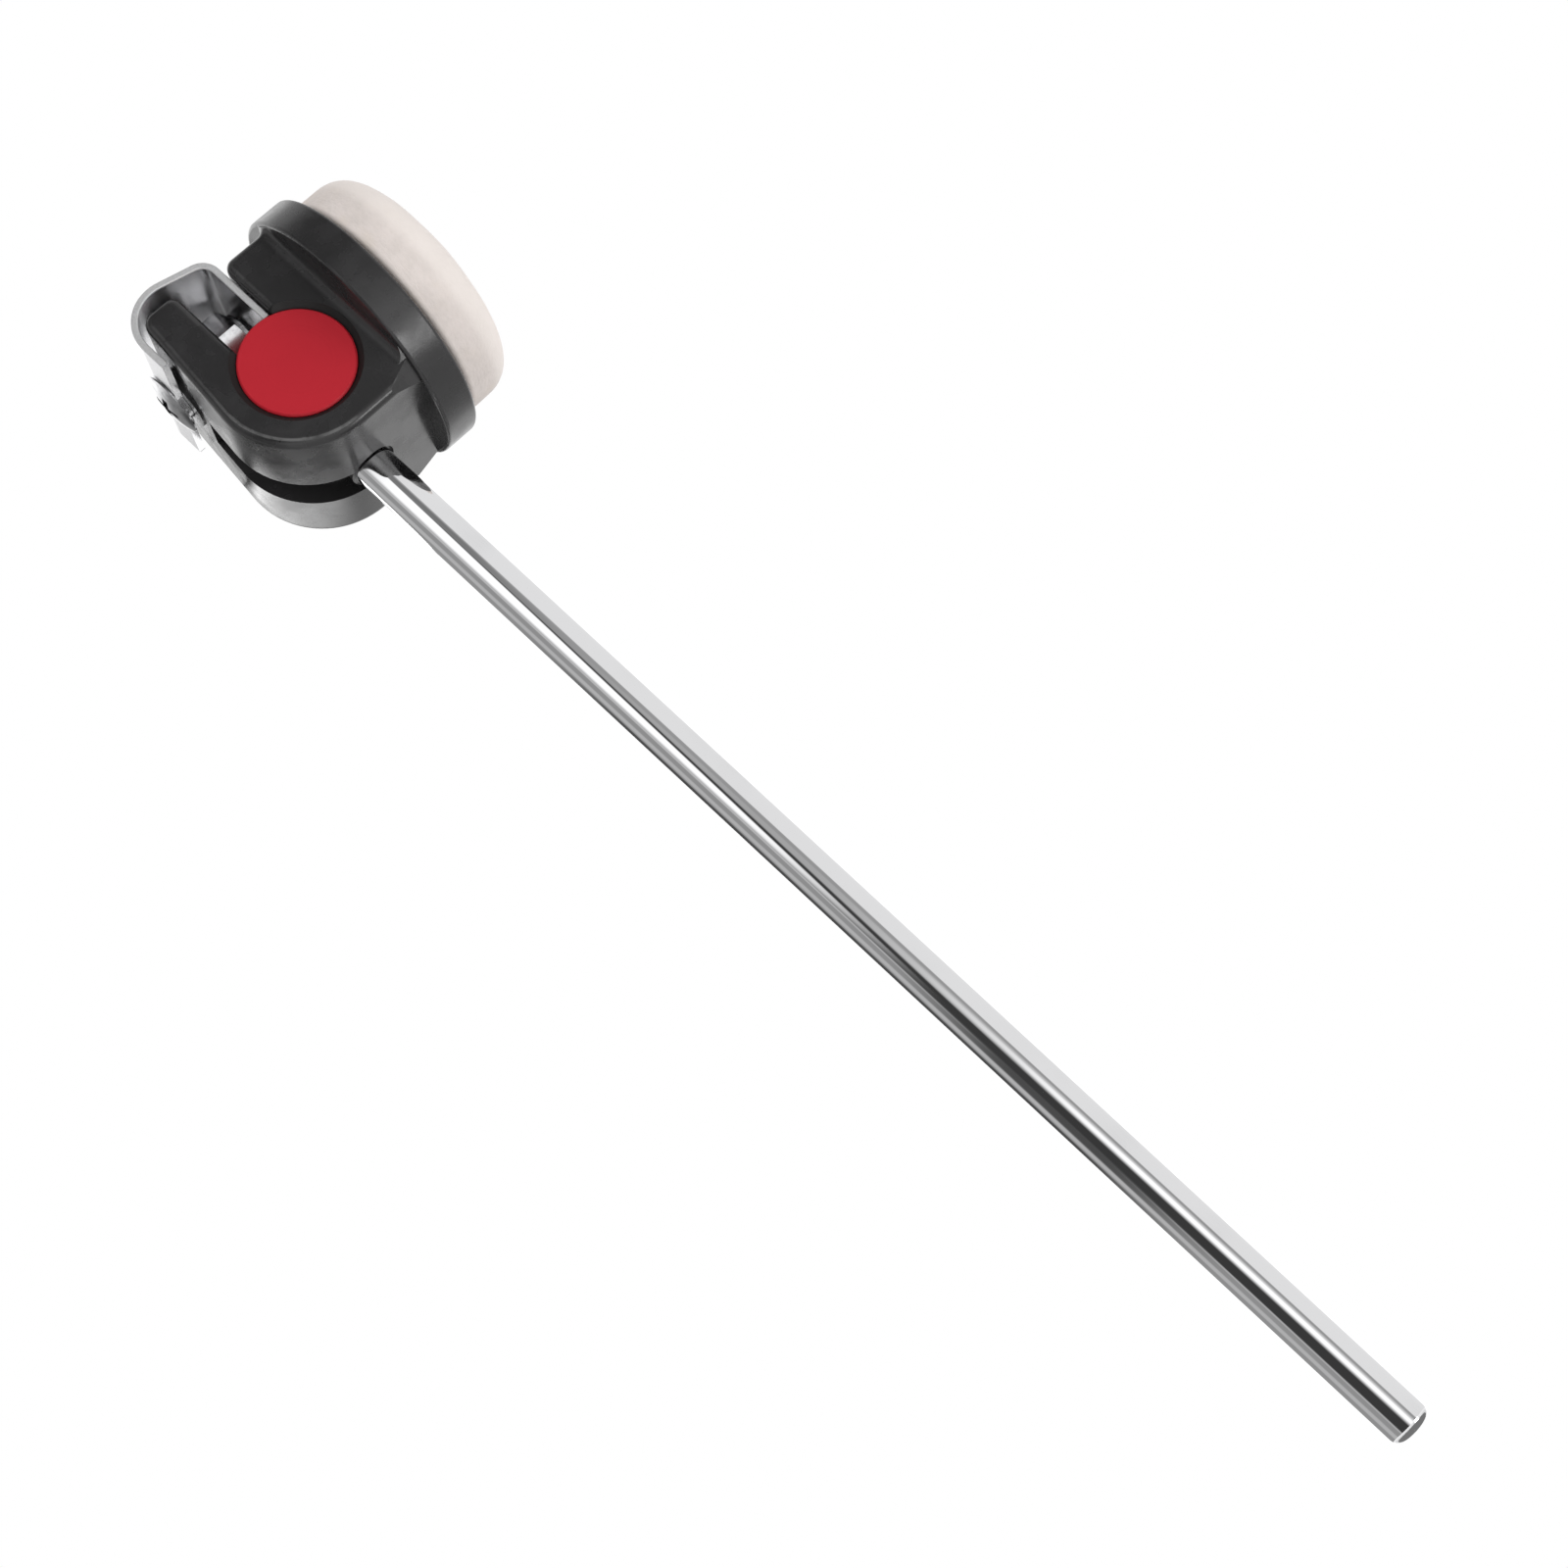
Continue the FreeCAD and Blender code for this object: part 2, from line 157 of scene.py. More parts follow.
class NodeSheet:
    """A node tree that is filled through short calls."""

    def __init__(self, tree: bpy.types.NodeTree) -> None:
        """Starts on an emptied tree."""
        tree.nodes.clear()
        self.tree = tree

    def place(
        self, kind: str, settings: Mapping[str, object], inputs: Mapping[SocketKey, Link]
    ) -> bpy.types.Node:
        """Adds a node, sets it up and feeds its sockets.

        Args:
            kind: the node's type.
            settings: the node's own properties, set before its sockets.
            inputs: a number, a colour, a vector or a signal for each socket that isn't left alone.

        Returns:
            The new node.
        """
        node = self.tree.nodes.new(kind)
        for name, value in settings.items():
            setattr(node, name, value)
        for key, value in inputs.items():
            socket = node.inputs[key]
            if isinstance(value, Signal):
                self.tree.links.new(value.socket, socket)
            else:
                socket.default_value = value
        return node

    def signal(
        self, kind: str, output: SocketKey, settings: Mapping[str, object], inputs: Mapping[SocketKey, Link]
    ) -> Signal:
        """Adds a node as place does and takes one of its outputs."""
        return Signal(self, self.place(kind, settings, inputs).outputs[output])

    def maths(self, operation: str, *terms: Link) -> Signal:
        """Adds a Math node on one or two values."""
        return self.signal("ShaderNodeMath", "Value", {"operation": operation}, dict(enumerate(terms)))

    def vectors(self, operation: str, output: str, *terms: Link) -> Signal:
        """Adds a Vector Math node on one or two vectors and takes its vector or its value."""
        return self.signal("ShaderNodeVectorMath", output, {"operation": operation}, dict(enumerate(terms)))

    def place_in_piece(self) -> Signal:
        """Reads where a point lies on the piece, in metres."""
        return self.signal("ShaderNodeTexCoord", "Object", {}, {})

    def stretched(self, position: Signal, scale: Point) -> Signal:
        """Multiplies a position along each axis before a pattern reads it."""
        return self.signal("ShaderNodeMapping", "Vector", {}, {"Vector": position, "Scale": scale})

    def speckle(self, position: Signal, grain: float, detail: float = 2.0, rough: float = 0.5) -> Signal:
        """Adds soft noise around a half, in grains of a size in metres, with finer layers on it."""
        inputs = {"Vector": position, "Scale": 1 / grain, "Detail": detail, "Roughness": rough}
        return self.signal("ShaderNodeTexNoise", "Fac", {}, inputs)

    def blend(self, share: Link, low: Link, high: Link) -> Signal:
        """Mixes two colours, with the low one alone at a share of 0 and the high one alone at 1."""
        inputs = {MIX_SHARE: share, MIX_LOW: low, MIX_HIGH: high}
        return self.signal("ShaderNodeMix", MIX_RESULT, {"data_type": "RGBA"}, inputs)

    def axes(self, position: Signal) -> Tuple[Signal, Signal, Signal]:
        """Splits a position into its three coordinates.

        Args:
            position: the position to split.

        Returns:
            Its x, y and z.
        """
        split = self.place("ShaderNodeSeparateXYZ", {}, {0: position})
        x, y, z = (Signal(self, output) for output in split.outputs)
        return x, y, z

    def radius(self, position: Signal, turned: Turned, centre: Point) -> Signal:
        """Measures how far a point lies from the axis that its piece was turned about.

        Args:
            position: the point.
            turned: the direction of the axis.
            centre: a point on the axis.

        Returns:
            The distance, in metres.
        """
        from_axis = self.vectors("SUBTRACT", "Vector", position, centre)
        across = self.vectors("MULTIPLY", "Vector", from_axis, turned.value)
        return self.vectors("LENGTH", "Value", across)

    def rings(self, radius: Signal, width: float, detail: float) -> Signal:
        """Adds uneven turning marks of a width in metres, with finer layers on them."""
        inputs = {"W": radius, "Scale": 1 / width, "Detail": detail}
        return self.signal("ShaderNodeTexNoise", "Fac", {"noise_dimensions": "1D"}, inputs)

    def ray(self, *kinds: str) -> Signal:
        """Tells whether a ray is of one of the named kinds.

        Args:
            kinds: outputs of the Light Path node.

        Returns:
            1 if it is and 0 if it isn't.
        """
        path = self.place("ShaderNodeLightPath", {}, {})
        found = Signal(self, path.outputs[kinds[0]])
        for kind in kinds[1:]:
            found = self.maths("MAXIMUM", found, Signal(self, path.outputs[kind]))
        return found

    def relief(self, height: Signal, depth: float) -> Signal:
        """Turns a height from 0 to 1 into a normal that is bumped to a depth in metres."""
        return self.signal("ShaderNodeBump", "Normal", {}, {"Height": height, "Distance": depth})

    def finish(self, inputs: Mapping[SocketKey, Link]) -> None:
        """Ends a material with one Principled shader that has these inputs."""
        shader = self.signal("ShaderNodeBsdfPrincipled", "BSDF", {}, inputs)
        self.place("ShaderNodeOutputMaterial", {}, {"Surface": shader})


@dataclass(frozen=True)
class Finish:
    """What every finish has: the record's slot that it belongs to and its main colour.

    In every finish a band is where a mask starts and where it is full, a share is how strongly a mask shows,
    and layers are the detail and the roughness of a noise.
    """

    slot: str
    colour: Colour

    def material(self) -> bpy.types.Material:
        """Makes the material.

        Returns:
            A material that is named for the slot, with its nodes in place.
        """
        made = bpy.data.materials.new(self.slot)
        made.use_nodes = True
        self.shade(NodeSheet(made.node_tree))
        return made

    def shade(self, sheet: NodeSheet) -> None:
        """Lays out the finish's nodes on an empty sheet."""
        raise NotImplementedError


@dataclass(frozen=True)
class PolishedChrome(Finish):
    """Bright plate on a drawn rod, with faint hairlines along it."""

    slot: str = "shaft_chrome"
    colour: Colour = (0.86, 0.86, 0.87, 1.0)
    dull: Colour = (0.76, 0.76, 0.77, 1.0)
    drawn: Point = (1.0, 1.0, 0.02)
    hairline: float = 0.25 * MM
    cloud: float = 18.0 * MM
    worn_band: Band = (0.5, 0.75)
    gloss: float = 0.035
    wear_and_highlight: float = 0.05

    def shade(self, sheet: NodeSheet) -> None:
        """Stretches noise along the rod for hairlines and lays soft handling marks over it.

        Args:
            sheet: the empty sheet.
        """
        position = sheet.place_in_piece()
        lines = sheet.speckle(sheet.stretched(position, self.drawn), self.hairline)
        clouds = sheet.speckle(position, self.cloud)
        worn_and_highlit = clouds.rise(*self.worn_band)
        sheet.finish({
            "Base Color": sheet.blend(lines * worn_and_highlit, self.colour, self.dull),
            "Roughness": self.gloss + self.wear_and_highlight * lines * worn_and_highlit,
            "Metallic": 1.0,
        })


@dataclass(frozen=True)
class SatinPlastic(Finish):
    """Black moulding: fine grain, greasy smudges, a painted highlight along its side edges and painted shade
    in its bore.
    """

    slot: str = "head_plastic"
    colour: Colour = (0.019, 0.0185, 0.019, 1.0)
    rubbed: Colour = (0.033, 0.032, 0.033, 1.0)
    # Painted highlight: the pale grey of the line where the side faces start to round off.
    worn_and_highlit: Colour = (0.1, 0.1, 0.1, 1.0)
    # Painted shade: the near-black colour laid over the bore and its mouth bevels.
    bore_shade: Colour = (0.004, 0.004, 0.004, 1.0)
    side: float = 17.9 * MM
    flange: float = 13.7 * MM
    centre: Point = (0.0, 0.0, 256.4 * MM)
    mouth: float = 11.8 * MM
    mouth_soft: float = 0.15 * MM
    edge_start: float = 0.03 * MM
    edge_end: float = 0.2 * MM
    edge_soft: float = 0.04 * MM
    fade: float = 10.0 * MM
    fade_share: float = 0.8
    highlight_stop: float = 5.0 * MM
    highlight_soft: float = 2.0 * MM
    grain: float = 0.35 * MM
    grain_depth: float = 0.012 * MM
    patch: float = 9.0 * MM
    patch_layers: Layers = (4.0, 0.6)
    rub_band: Band = (0.45, 0.75)
    highlight_band: Band = (0.38, 0.62)
    gloss_band: Band = (0.3, 0.7)
    gloss: float = 0.16
    patch_gloss: float = 0.18
    bore_gloss: float = 0.4

    def edges(self, sheet: NodeSheet, position: Signal) -> Signal:
        """Marks a painted highlight where each side face starts to round off, mostly below the bore and
        short of the flange.

        Args:
            sheet: the sheet to work on.
            position: the place on the piece.

        Returns:
            The mask of the two lines.
        """
        x, y, z = sheet.axes(position)
        line = abs(y).within(self.side - self.edge_end, self.side - self.edge_start, self.edge_soft)
        low = 1 - self.fade_share * z.rise(self.centre[2] - self.fade, self.centre[2] + self.fade)
        stop = self.flange - self.highlight_stop
        return line * low * (1 - x.rise(stop, stop + self.highlight_soft))

    def shaded_bore(self, sheet: NodeSheet, position: Signal) -> Signal:
        """Marks the bore and the bevels at its mouths, which are painted near black as shade."""
        radius = sheet.radius(position, Turned.ABOUT_Y, self.centre)
        return 1 - radius.rise(self.mouth - self.mouth_soft, self.mouth)

    def shade(self, sheet: NodeSheet) -> None:
        """Mixes a fine grain with larger smudges, paints a patchy highlight on the side edges and paints
        shade in the bore.

        Args:
            sheet: the empty sheet.
        """
        position = sheet.place_in_piece()
        grain = sheet.speckle(position, self.grain)
        patches = sheet.speckle(position, self.patch, *self.patch_layers)
        skin = sheet.blend(patches.rise(*self.rub_band) * grain, self.colour, self.rubbed)
        # Painted highlight: a pale line along the side edges, broken into patches.
        wear_and_highlight = self.edges(sheet, position) * patches.rise(*self.highlight_band)
        # Painted shade: the bore and its bevels are darkened, and their roughness is raised.
        bore_shade_mask = self.shaded_bore(sheet, position)
        smudges = self.patch_gloss * patches.rise(*self.gloss_band)
        sheet.finish({
            "Base Color": sheet.blend(bore_shade_mask, sheet.blend(wear_and_highlight, skin, self.worn_and_highlit), self.bore_shade),
            "Roughness": self.gloss + smudges + self.bore_gloss * bore_shade_mask,
            "Normal": sheet.relief(grain, self.grain_depth),
        })


@dataclass(frozen=True)
class RedAnodised(Finish):
    """Turned aluminium with a red oxide layer. The turning marks run round its axis."""

    slot: str = "weight_red"
    colour: Colour = (0.475, 0.017, 0.029, 1.0)
    deep: Colour = (0.435, 0.015, 0.026, 1.0)
    centre: Point = (0.0, 0.0, 0.0)
    mark: float = 0.45 * MM
    mark_detail: float = 2.0
    mark_depth: float = 0.003 * MM
    mark_share: float = 0.4
    tone: float = 4.5 * MM
    tone_share: float = 0.6
    gloss: float = 0.4
    mark_gloss: float = 0.1
    metal: float = 0.1
    shine: float = 0.3

    def shade(self, sheet: NodeSheet) -> None:
        """Draws uneven rings round the axis and a very soft change of colour.

        Args:
            sheet: the empty sheet.
        """
        position = sheet.place_in_piece()
        radius = sheet.radius(position, Turned.ABOUT_Y, self.centre)
        rings = sheet.rings(radius, self.mark, self.mark_detail)
        depth = self.mark_share * rings + self.tone_share * sheet.speckle(position, self.tone)
        sheet.finish({
            "Base Color": sheet.blend(depth, self.colour, self.deep),
            "Roughness": self.gloss + self.mark_gloss * rings,
            "Metallic": self.metal,
            "Specular IOR Level": self.shine,
            "Normal": sheet.relief(rings, self.mark_depth),
        })


@dataclass(frozen=True)
class PressedFelt(Finish):
    """Dense wool felt: pale matted fibres, soft blotches of warmer wool and a painted highlight that makes
    its shoulder and face paler.
    """

    slot: str = "felt_white"
    colour: Colour = (0.68, 0.62, 0.59, 1.0)
    shaded: Colour = (0.57, 0.52, 0.49, 1.0)
    warm: Colour = (0.65, 0.58, 0.52, 1.0)
    # Painted highlight: the paler colour of the shoulder and face, where more light falls.
    pale: Colour = (0.75, 0.695, 0.66, 1.0)
    shoulder: float = 28.0 * MM
    round_start: float = -1.0 * MM
    round_end: float = 1.5 * MM
    highlight_share: float = 0.7
    fibre: float = 0.6 * MM
    fibre_layers: Layers = (3.0, 0.6)
    fibre_depth: float = 0.12 * MM
    fibre_band: Band = (0.3, 0.7)
    fibre_share: float = 0.25
    carded: Point = (1.0, 0.3, 1.0)
    crossed: Point = (1.0, 1.0, 0.25)
    mottle: float = 5.0 * MM
    mottle_layers: Layers = (3.0, 0.55)
    mottle_band: Band = (0.35, 0.75)
    mottle_share: float = 0.6
    drifted: Point = (1.3, 0.7, 0.9)
    warm_band: Band = (0.5, 0.8)
    warm_share: float = 0.6
    gloss: float = 0.92
    fibre_gloss: float = 0.08
    sheen: float = 0.15
    sheen_gloss: float = 0.5
    shine: float = 0.1

    def shade(self, sheet: NodeSheet) -> None:
        """Crosses two directions of stretched noise as fibres, lays soft blotches under them and paints a
        highlight on the shoulder and face.

        Args:
            sheet: the empty sheet.
        """
        position = sheet.place_in_piece()
        along, across = (
            sheet.speckle(sheet.stretched(position, way), self.fibre, *self.fibre_layers)
            for way in (self.carded, self.crossed)
        )
        fibres = 0.5 * along + 0.5 * across
        blotches = sheet.speckle(position, self.mottle, *self.mottle_layers).rise(*self.mottle_band)
        warmth = sheet.speckle(sheet.stretched(position, self.drifted), self.mottle).rise(*self.warm_band)
        shade = self.fibre_share * fibres.rise(*self.fibre_band) + self.mottle_share * blotches
        wool = sheet.blend(self.warm_share * warmth, sheet.blend(shade, self.colour, self.shaded), self.warm)
        x, _, _ = sheet.axes(position)
        # Painted highlight: the shoulder and face are painted paler.
        rounded = x.rise(self.shoulder + self.round_start, self.shoulder + self.round_end)
        sheet.finish({
            "Base Color": sheet.blend(self.highlight_share * rounded, wool, self.pale),
            "Roughness": self.gloss + self.fibre_gloss * fibres,
            "Sheen Weight": self.sheen,
            "Sheen Roughness": self.sheen_gloss,
            "Specular IOR Level": self.shine,
            "Normal": sheet.relief(fibres, self.fibre_depth),
        })


@dataclass(frozen=True)
class SetAdhesive(Finish):
    """Contact adhesive that has set to a yellowish skin."""

    slot: str = "bond_clear"
    colour: Colour = (0.6, 0.53, 0.42, 1.0)
    dark: Colour = (0.42, 0.35, 0.25, 1.0)
    bubble: float = 1.5 * MM
    gloss: float = 0.4
    cloud_gloss: float = 0.3

    def shade(self, sheet: NodeSheet) -> None:
        """Clouds the colour and the gloss."""
        clouds = sheet.speckle(sheet.place_in_piece(), self.bubble)
        sheet.finish({
            "Base Color": sheet.blend(clouds, self.colour, self.dark),
            "Roughness": self.gloss + self.cloud_gloss * clouds,
        })


@dataclass(frozen=True)
class PlatedStrip(Finish):
    """Plated spring strip: bright rolled faces and dull, torn edges where it was sheared."""

    slot: str = "clip_chrome"
    colour: Colour = (0.84, 0.84, 0.85, 1.0)
    torn: Colour = (0.5, 0.5, 0.5, 1.0)
    half_width: float = 16.5 * MM
    edge_depth: float = 0.35 * MM
    tear: float = 0.35 * MM
    tear_layers: Layers = (3.0, 0.65)
    tear_depth: float = 0.05 * MM
    rolled: Point = (1.0, 0.05, 1.0)
    roll: float = 0.5 * MM
    gloss: float = 0.2
    roll_gloss: float = 0.08
    edge_gloss: float = 0.2
    tear_gloss: float = 0.2
    edge_loss: float = 0.35

    def shade(self, sheet: NodeSheet) -> None:
        """Marks the two sheared sides by how far they lie from the middle.

        Args:
            sheet: the empty sheet.
        """
        position = sheet.place_in_piece()
        _, y, _ = sheet.axes(position)
        edge = abs(y).rise(self.half_width - self.edge_depth, self.half_width - self.edge_depth / 2)
        tears = sheet.speckle(position, self.tear, *self.tear_layers)
        lines = sheet.speckle(sheet.stretched(position, self.rolled), self.roll)
        roughened = edge * (self.edge_gloss + self.tear_gloss * tears)
        sheet.finish({
            "Base Color": sheet.blend(edge * tears, self.colour, self.torn),
            "Roughness": self.gloss + self.roll_gloss * lines + roughened,
            "Metallic": 1.0 - self.edge_loss * edge,
            "Normal": sheet.relief(edge * tears, self.tear_depth),
        })


@dataclass(frozen=True)
class BrightZinc(Finish):
    """Zinc plate on small turned and pressed steel, a little cloudy."""

    slot: str = "fastener_zinc"
    colour: Colour = (0.58, 0.58, 0.59, 1.0)
    dull: Colour = (0.4, 0.4, 0.41, 1.0)
    centre: Point = (0.0, 0.0, 0.0)
    cloud: float = 1.6 * MM
    cloud_layers: Layers = (3.0, 0.6)
    cloud_band: Band = (0.4, 0.8)
    mark: float = 0.3 * MM
    mark_detail: float = 1.0
    gloss: float = 0.08
    cloud_gloss: float = 0.08
    mark_gloss: float = 0.05

    def shade(self, sheet: NodeSheet) -> None:
        """Lays turning marks round the screw's axis over a cloudy plate.

        Args:
            sheet: the empty sheet.
        """
        position = sheet.place_in_piece()
        clouds = sheet.speckle(position, self.cloud, *self.cloud_layers)
        rings = sheet.rings(sheet.radius(position, Turned.ABOUT_X, self.centre), self.mark, self.mark_detail)
        sheet.finish({
            "Base Color": sheet.blend(clouds.rise(*self.cloud_band), self.colour, self.dull),
            "Roughness": self.gloss + self.cloud_gloss * clouds + self.mark_gloss * rings,
            "Metallic": 1.0,
        })


@dataclass(frozen=True)
class PaleNylon(Finish):
    """Undyed nylon, slightly milky."""

    slot: str = "insert_nylon"
    colour: Colour = (0.8, 0.79, 0.75, 1.0)
    milky: Colour = (0.72, 0.7, 0.64, 1.0)
    cloud: float = 0.8 * MM
    gloss: float = 0.4
    cloud_gloss: float = 0.15

    def shade(self, sheet: NodeSheet) -> None:
        """Clouds the colour and the gloss."""
        clouds = sheet.speckle(sheet.place_in_piece(), self.cloud)
        sheet.finish({
            "Base Color": sheet.blend(clouds, self.colour, self.milky),
            "Roughness": self.gloss + self.cloud_gloss * clouds,
        })


def dress(node: str, finish: Finish) -> None:
    """Gives a construction piece its finish.

    Args:
        node: the piece's name in the frame.
        finish: the finish for all of it.
    """
    made = finish.material()
    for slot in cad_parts[node].material_slots:
        slot.material = made
    LOG.info("dressed %s in %s", node, finish.slot)


def middle(node: str) -> Point:
    """Gives the middle of a construction piece's box."""
    low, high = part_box(node)
    return tuple((low + high) / 2)


@dataclass
class FeltPad:
    """The pressed felt disc: a straight side, a rounded corner, a shallow dome and an uneven skin."""

    side: float = 6.4 * MM
    corner: float = 6.0 * MM
    lump: float = 7.0 * MM
    lump_height: float = 0.1 * MM
    tuft: float = 1.6 * MM
    tuft_height: float = 0.05 * MM
    weld: float = 0.001 * MM
    side_steps: int = 6
    corner_steps: int = 8
    dome_steps: int = 16
    turn_steps: int = 160

    def outline(self, mesh: bmesh.types.BMesh, low: Vector, high: Vector) -> None:
        """Draws half the pad's section, from the middle of its back to the top of its dome.

        Args:
            mesh: the empty mesh to draw in.
            low: the lowest corner of the pad's box.
            high: the highest corner of the pad's box.
        """
        axis_z = (low.z + high.z) / 2
        radius = (high.z - low.z) / 2
        rim = radius - self.corner
        crown = high.x - low.x - self.side
        dome_radius = (crown ** 2 + rim ** 2 - self.corner ** 2) / (2 * (crown - self.corner))
        dome_x = high.x - dome_radius
        turn = math.atan2(rim, low.x + self.side - dome_x)
        centre = mesh.verts.new((low.x, 0.0, axis_z))
        edge = self.drawn_on(mesh, centre, (low.x, 0.0, axis_z + radius))
        for step in range(1, self.side_steps + 1):
            along = self.side * step / self.side_steps
            edge = self.drawn_on(mesh, edge, (low.x + along, 0.0, axis_z + radius))
        shoulder = (low.x + self.side, 0.0, axis_z + rim)
        edge = self.swung(mesh, edge, shoulder, math.pi / 2 - turn, self.corner_steps)
        self.swung(mesh, edge, (dome_x, 0.0, axis_z), turn, self.dome_steps)

    @staticmethod
    def drawn_on(mesh: bmesh.types.BMesh, vert: bmesh.types.BMVert, place: Point) -> bmesh.types.BMVert:
        """Draws a straight edge from a vertex.

        Args:
            mesh: the mesh to draw in.
            vert: the vertex to start from.
            place: where the edge ends.

        Returns:
            The vertex at the edge's end.
        """
        made = bmesh.ops.extrude_vert_indiv(mesh, verts=[vert])["verts"][0]
        made.co = place
        return made

    @staticmethod
    def swung(
        mesh: bmesh.types.BMesh, vert: bmesh.types.BMVert, centre: Point, angle: float, steps: int
    ) -> bmesh.types.BMVert:
        """Swings a vertex about a line along Y and leaves an arc behind it.

        Args:
            mesh: the mesh to draw in.
            vert: the vertex to start from.
            centre: a point on the line.
            angle: how far it swings.
            steps: how many edges the arc has.

        Returns:
            The vertex at the arc's end.
        """
        made = bmesh.ops.spin(
            mesh,
            geom=[vert],
            cent=centre,
            axis=(0.0, 1.0, 0.0),
            angle=angle,
            steps=steps,
            use_duplicate=False,
        )
        return next(item for item in made["geom_last"] if isinstance(item, bmesh.types.BMVert))

    def roughen(self, mesh: bmesh.types.BMesh, back: float) -> None:
        """Moves the skin in and out by a little, and leaves the glued back flat.

        Args:
            mesh: the closed pad.
            back: where the glued face lies along X.
        """
        mesh.normal_update()
        for vert in mesh.verts:
            if vert.co.x - back < self.tuft:
                continue
            lumps = noise.noise(vert.co / self.lump) * self.lump_height
            tufts = noise.noise(vert.co / self.tuft) * self.tuft_height
            vert.co += vert.normal * (lumps + tufts - self.lump_height)

    def build(self) -> None:
        """Makes the pad in the place of the construction's plain one, riding on the head."""
        low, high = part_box("felt_pad")
        mesh = bmesh.new()
        self.outline(mesh, low, high)
        bmesh.ops.spin(
            mesh,
            geom=list(mesh.verts) + list(mesh.edges),
            cent=(low.x, 0.0, (low.z + high.z) / 2),
            axis=(1.0, 0.0, 0.0),
            angle=2 * math.pi,
            steps=self.turn_steps,
            use_merge=True,
            use_duplicate=False,
        )
        bmesh.ops.remove_doubles(mesh, verts=list(mesh.verts), dist=self.weld)
        bmesh.ops.recalc_face_normals(mesh, faces=list(mesh.faces))
        self.roughen(mesh, low.x)
        for face in mesh.faces:
            face.smooth = True
        data = bpy.data.meshes.new("felt_disc")
        mesh.to_mesh(data)
        mesh.free()
        pad = bpy.data.objects.new("felt_disc", data)
        bpy.context.scene.collection.objects.link(pad)
        rounding = pad.modifiers.new("rounding", "SUBSURF")
        rounding.levels = 1
        rounding.render_levels = 1
        data.materials.append(PressedFelt(shoulder=low.x + self.side).material())
        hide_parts("felt_pad")
        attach(pad, "head")
        LOG.info("built %s with %d faces", pad.name, len(data.polygons))


@dataclass
class Striker:
    """The moulded head with its shaft and the felt that is glued to its flange."""

    felt: FeltPad

    def build(self) -> None:
        """Dresses the shaft and the head and makes the felt."""
        dress("shaft", PolishedChrome())
        low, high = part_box("counterweight")
        mouth = (high.z - low.z) / 2 + BORE_BEVEL
        bore = middle("counterweight")
        dress("head_body", SatinPlastic(side=high.y + BORE_INSET, centre=bore, mouth=mouth))
        dress("felt_bond", SetAdhesive())
        self.felt.build()


@dataclass
class WeightClamp:
    """The sliding weight, the clip that bears on it and the screw that holds the clip."""

    fasteners: Tuple[str, ...] = ("clip_screw", "nut_washer", "lock_nut")

    def build(self) -> None:
        """Dresses the weight, the clip and each fastener."""
        dress("counterweight", RedAnodised(centre=middle("counterweight")))
        dress("spring_clip", PlatedStrip(half_width=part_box("spring_clip")[1].y))
        for node in self.fasteners:
            dress(node, BrightZinc(centre=middle(node)))
        dress("lock_nut_insert", PaleNylon())


@dataclass(frozen=True)
class Edge:
    """One upright or leaning edge of a studio panel.

    Azimuths are measured from the camera's side, in degrees, and grow towards the felt.
    """

    azimuth: float
    soft: float = 8.0
    lean: float = 0.0

    def passed(self, azimuth: Signal, height: Signal) -> Signal:
        """Is 0 for a direction before the edge, 1 past it and something between in its soft band."""
        upright = azimuth - height * self.lean
        return upright.rise(self.azimuth - self.soft / 2, self.azimuth + self.soft / 2)


@dataclass(frozen=True)
class Panel:
    """A soft patch of the studio's walls, which polished metal mirrors. Heights are sines of elevations."""

    name: str
    left: Edge
    right: Edge
    level: float
    bottom: float = -2.0
    top: float = 2.0
    soft: float = 0.06

    def cover(self, azimuth: Signal, height: Signal) -> Signal:
        """Gives the share that the panel covers in a direction."""
        across = self.left.passed(azimuth, height) * (1 - self.right.passed(azimuth, height))
        return across * height.within(self.bottom, self.top, self.soft)


@dataclass(frozen=True)
class SoftLamp:
    """A square lamp that points at the head."""

    name: str
    place: Point
    size: float
    watts: float
    mirrored: bool = False


@dataclass(frozen=True)
class Viewpoint:
    """Where the camera stands, what it looks at, how far it is rolled and its lens on a 36 mm sensor."""

    eye: Point = (-90.06 * MM, -370.61 * MM, 75.47 * MM)
    aim: Point = (8.0 * MM, 0.0, 145.8 * MM)
    roll: float = -47.38
    lens: float = 51.62
    sensor: float = 36.0
    nearest: float = 10.0 * MM

    def build(self) -> None:
        """Makes the camera and hands it to the scene."""
        data = bpy.data.cameras.new("photo_camera")
        data.lens = self.lens
        data.sensor_width = self.sensor
        data.clip_start = self.nearest
        camera = bpy.data.objects.new("photo_camera", data)
        bpy.context.scene.collection.objects.link(camera)
        level = (Vector(self.aim) - Vector(self.eye)).to_track_quat("-Z", "Y")
        camera.rotation_mode = "QUATERNION"
        camera.rotation_quaternion = level @ Quaternion((0.0, 0.0, 1.0), math.radians(self.roll))
        camera.location = self.eye
        bpy.context.scene.camera = camera
        LOG.info("placed the camera")


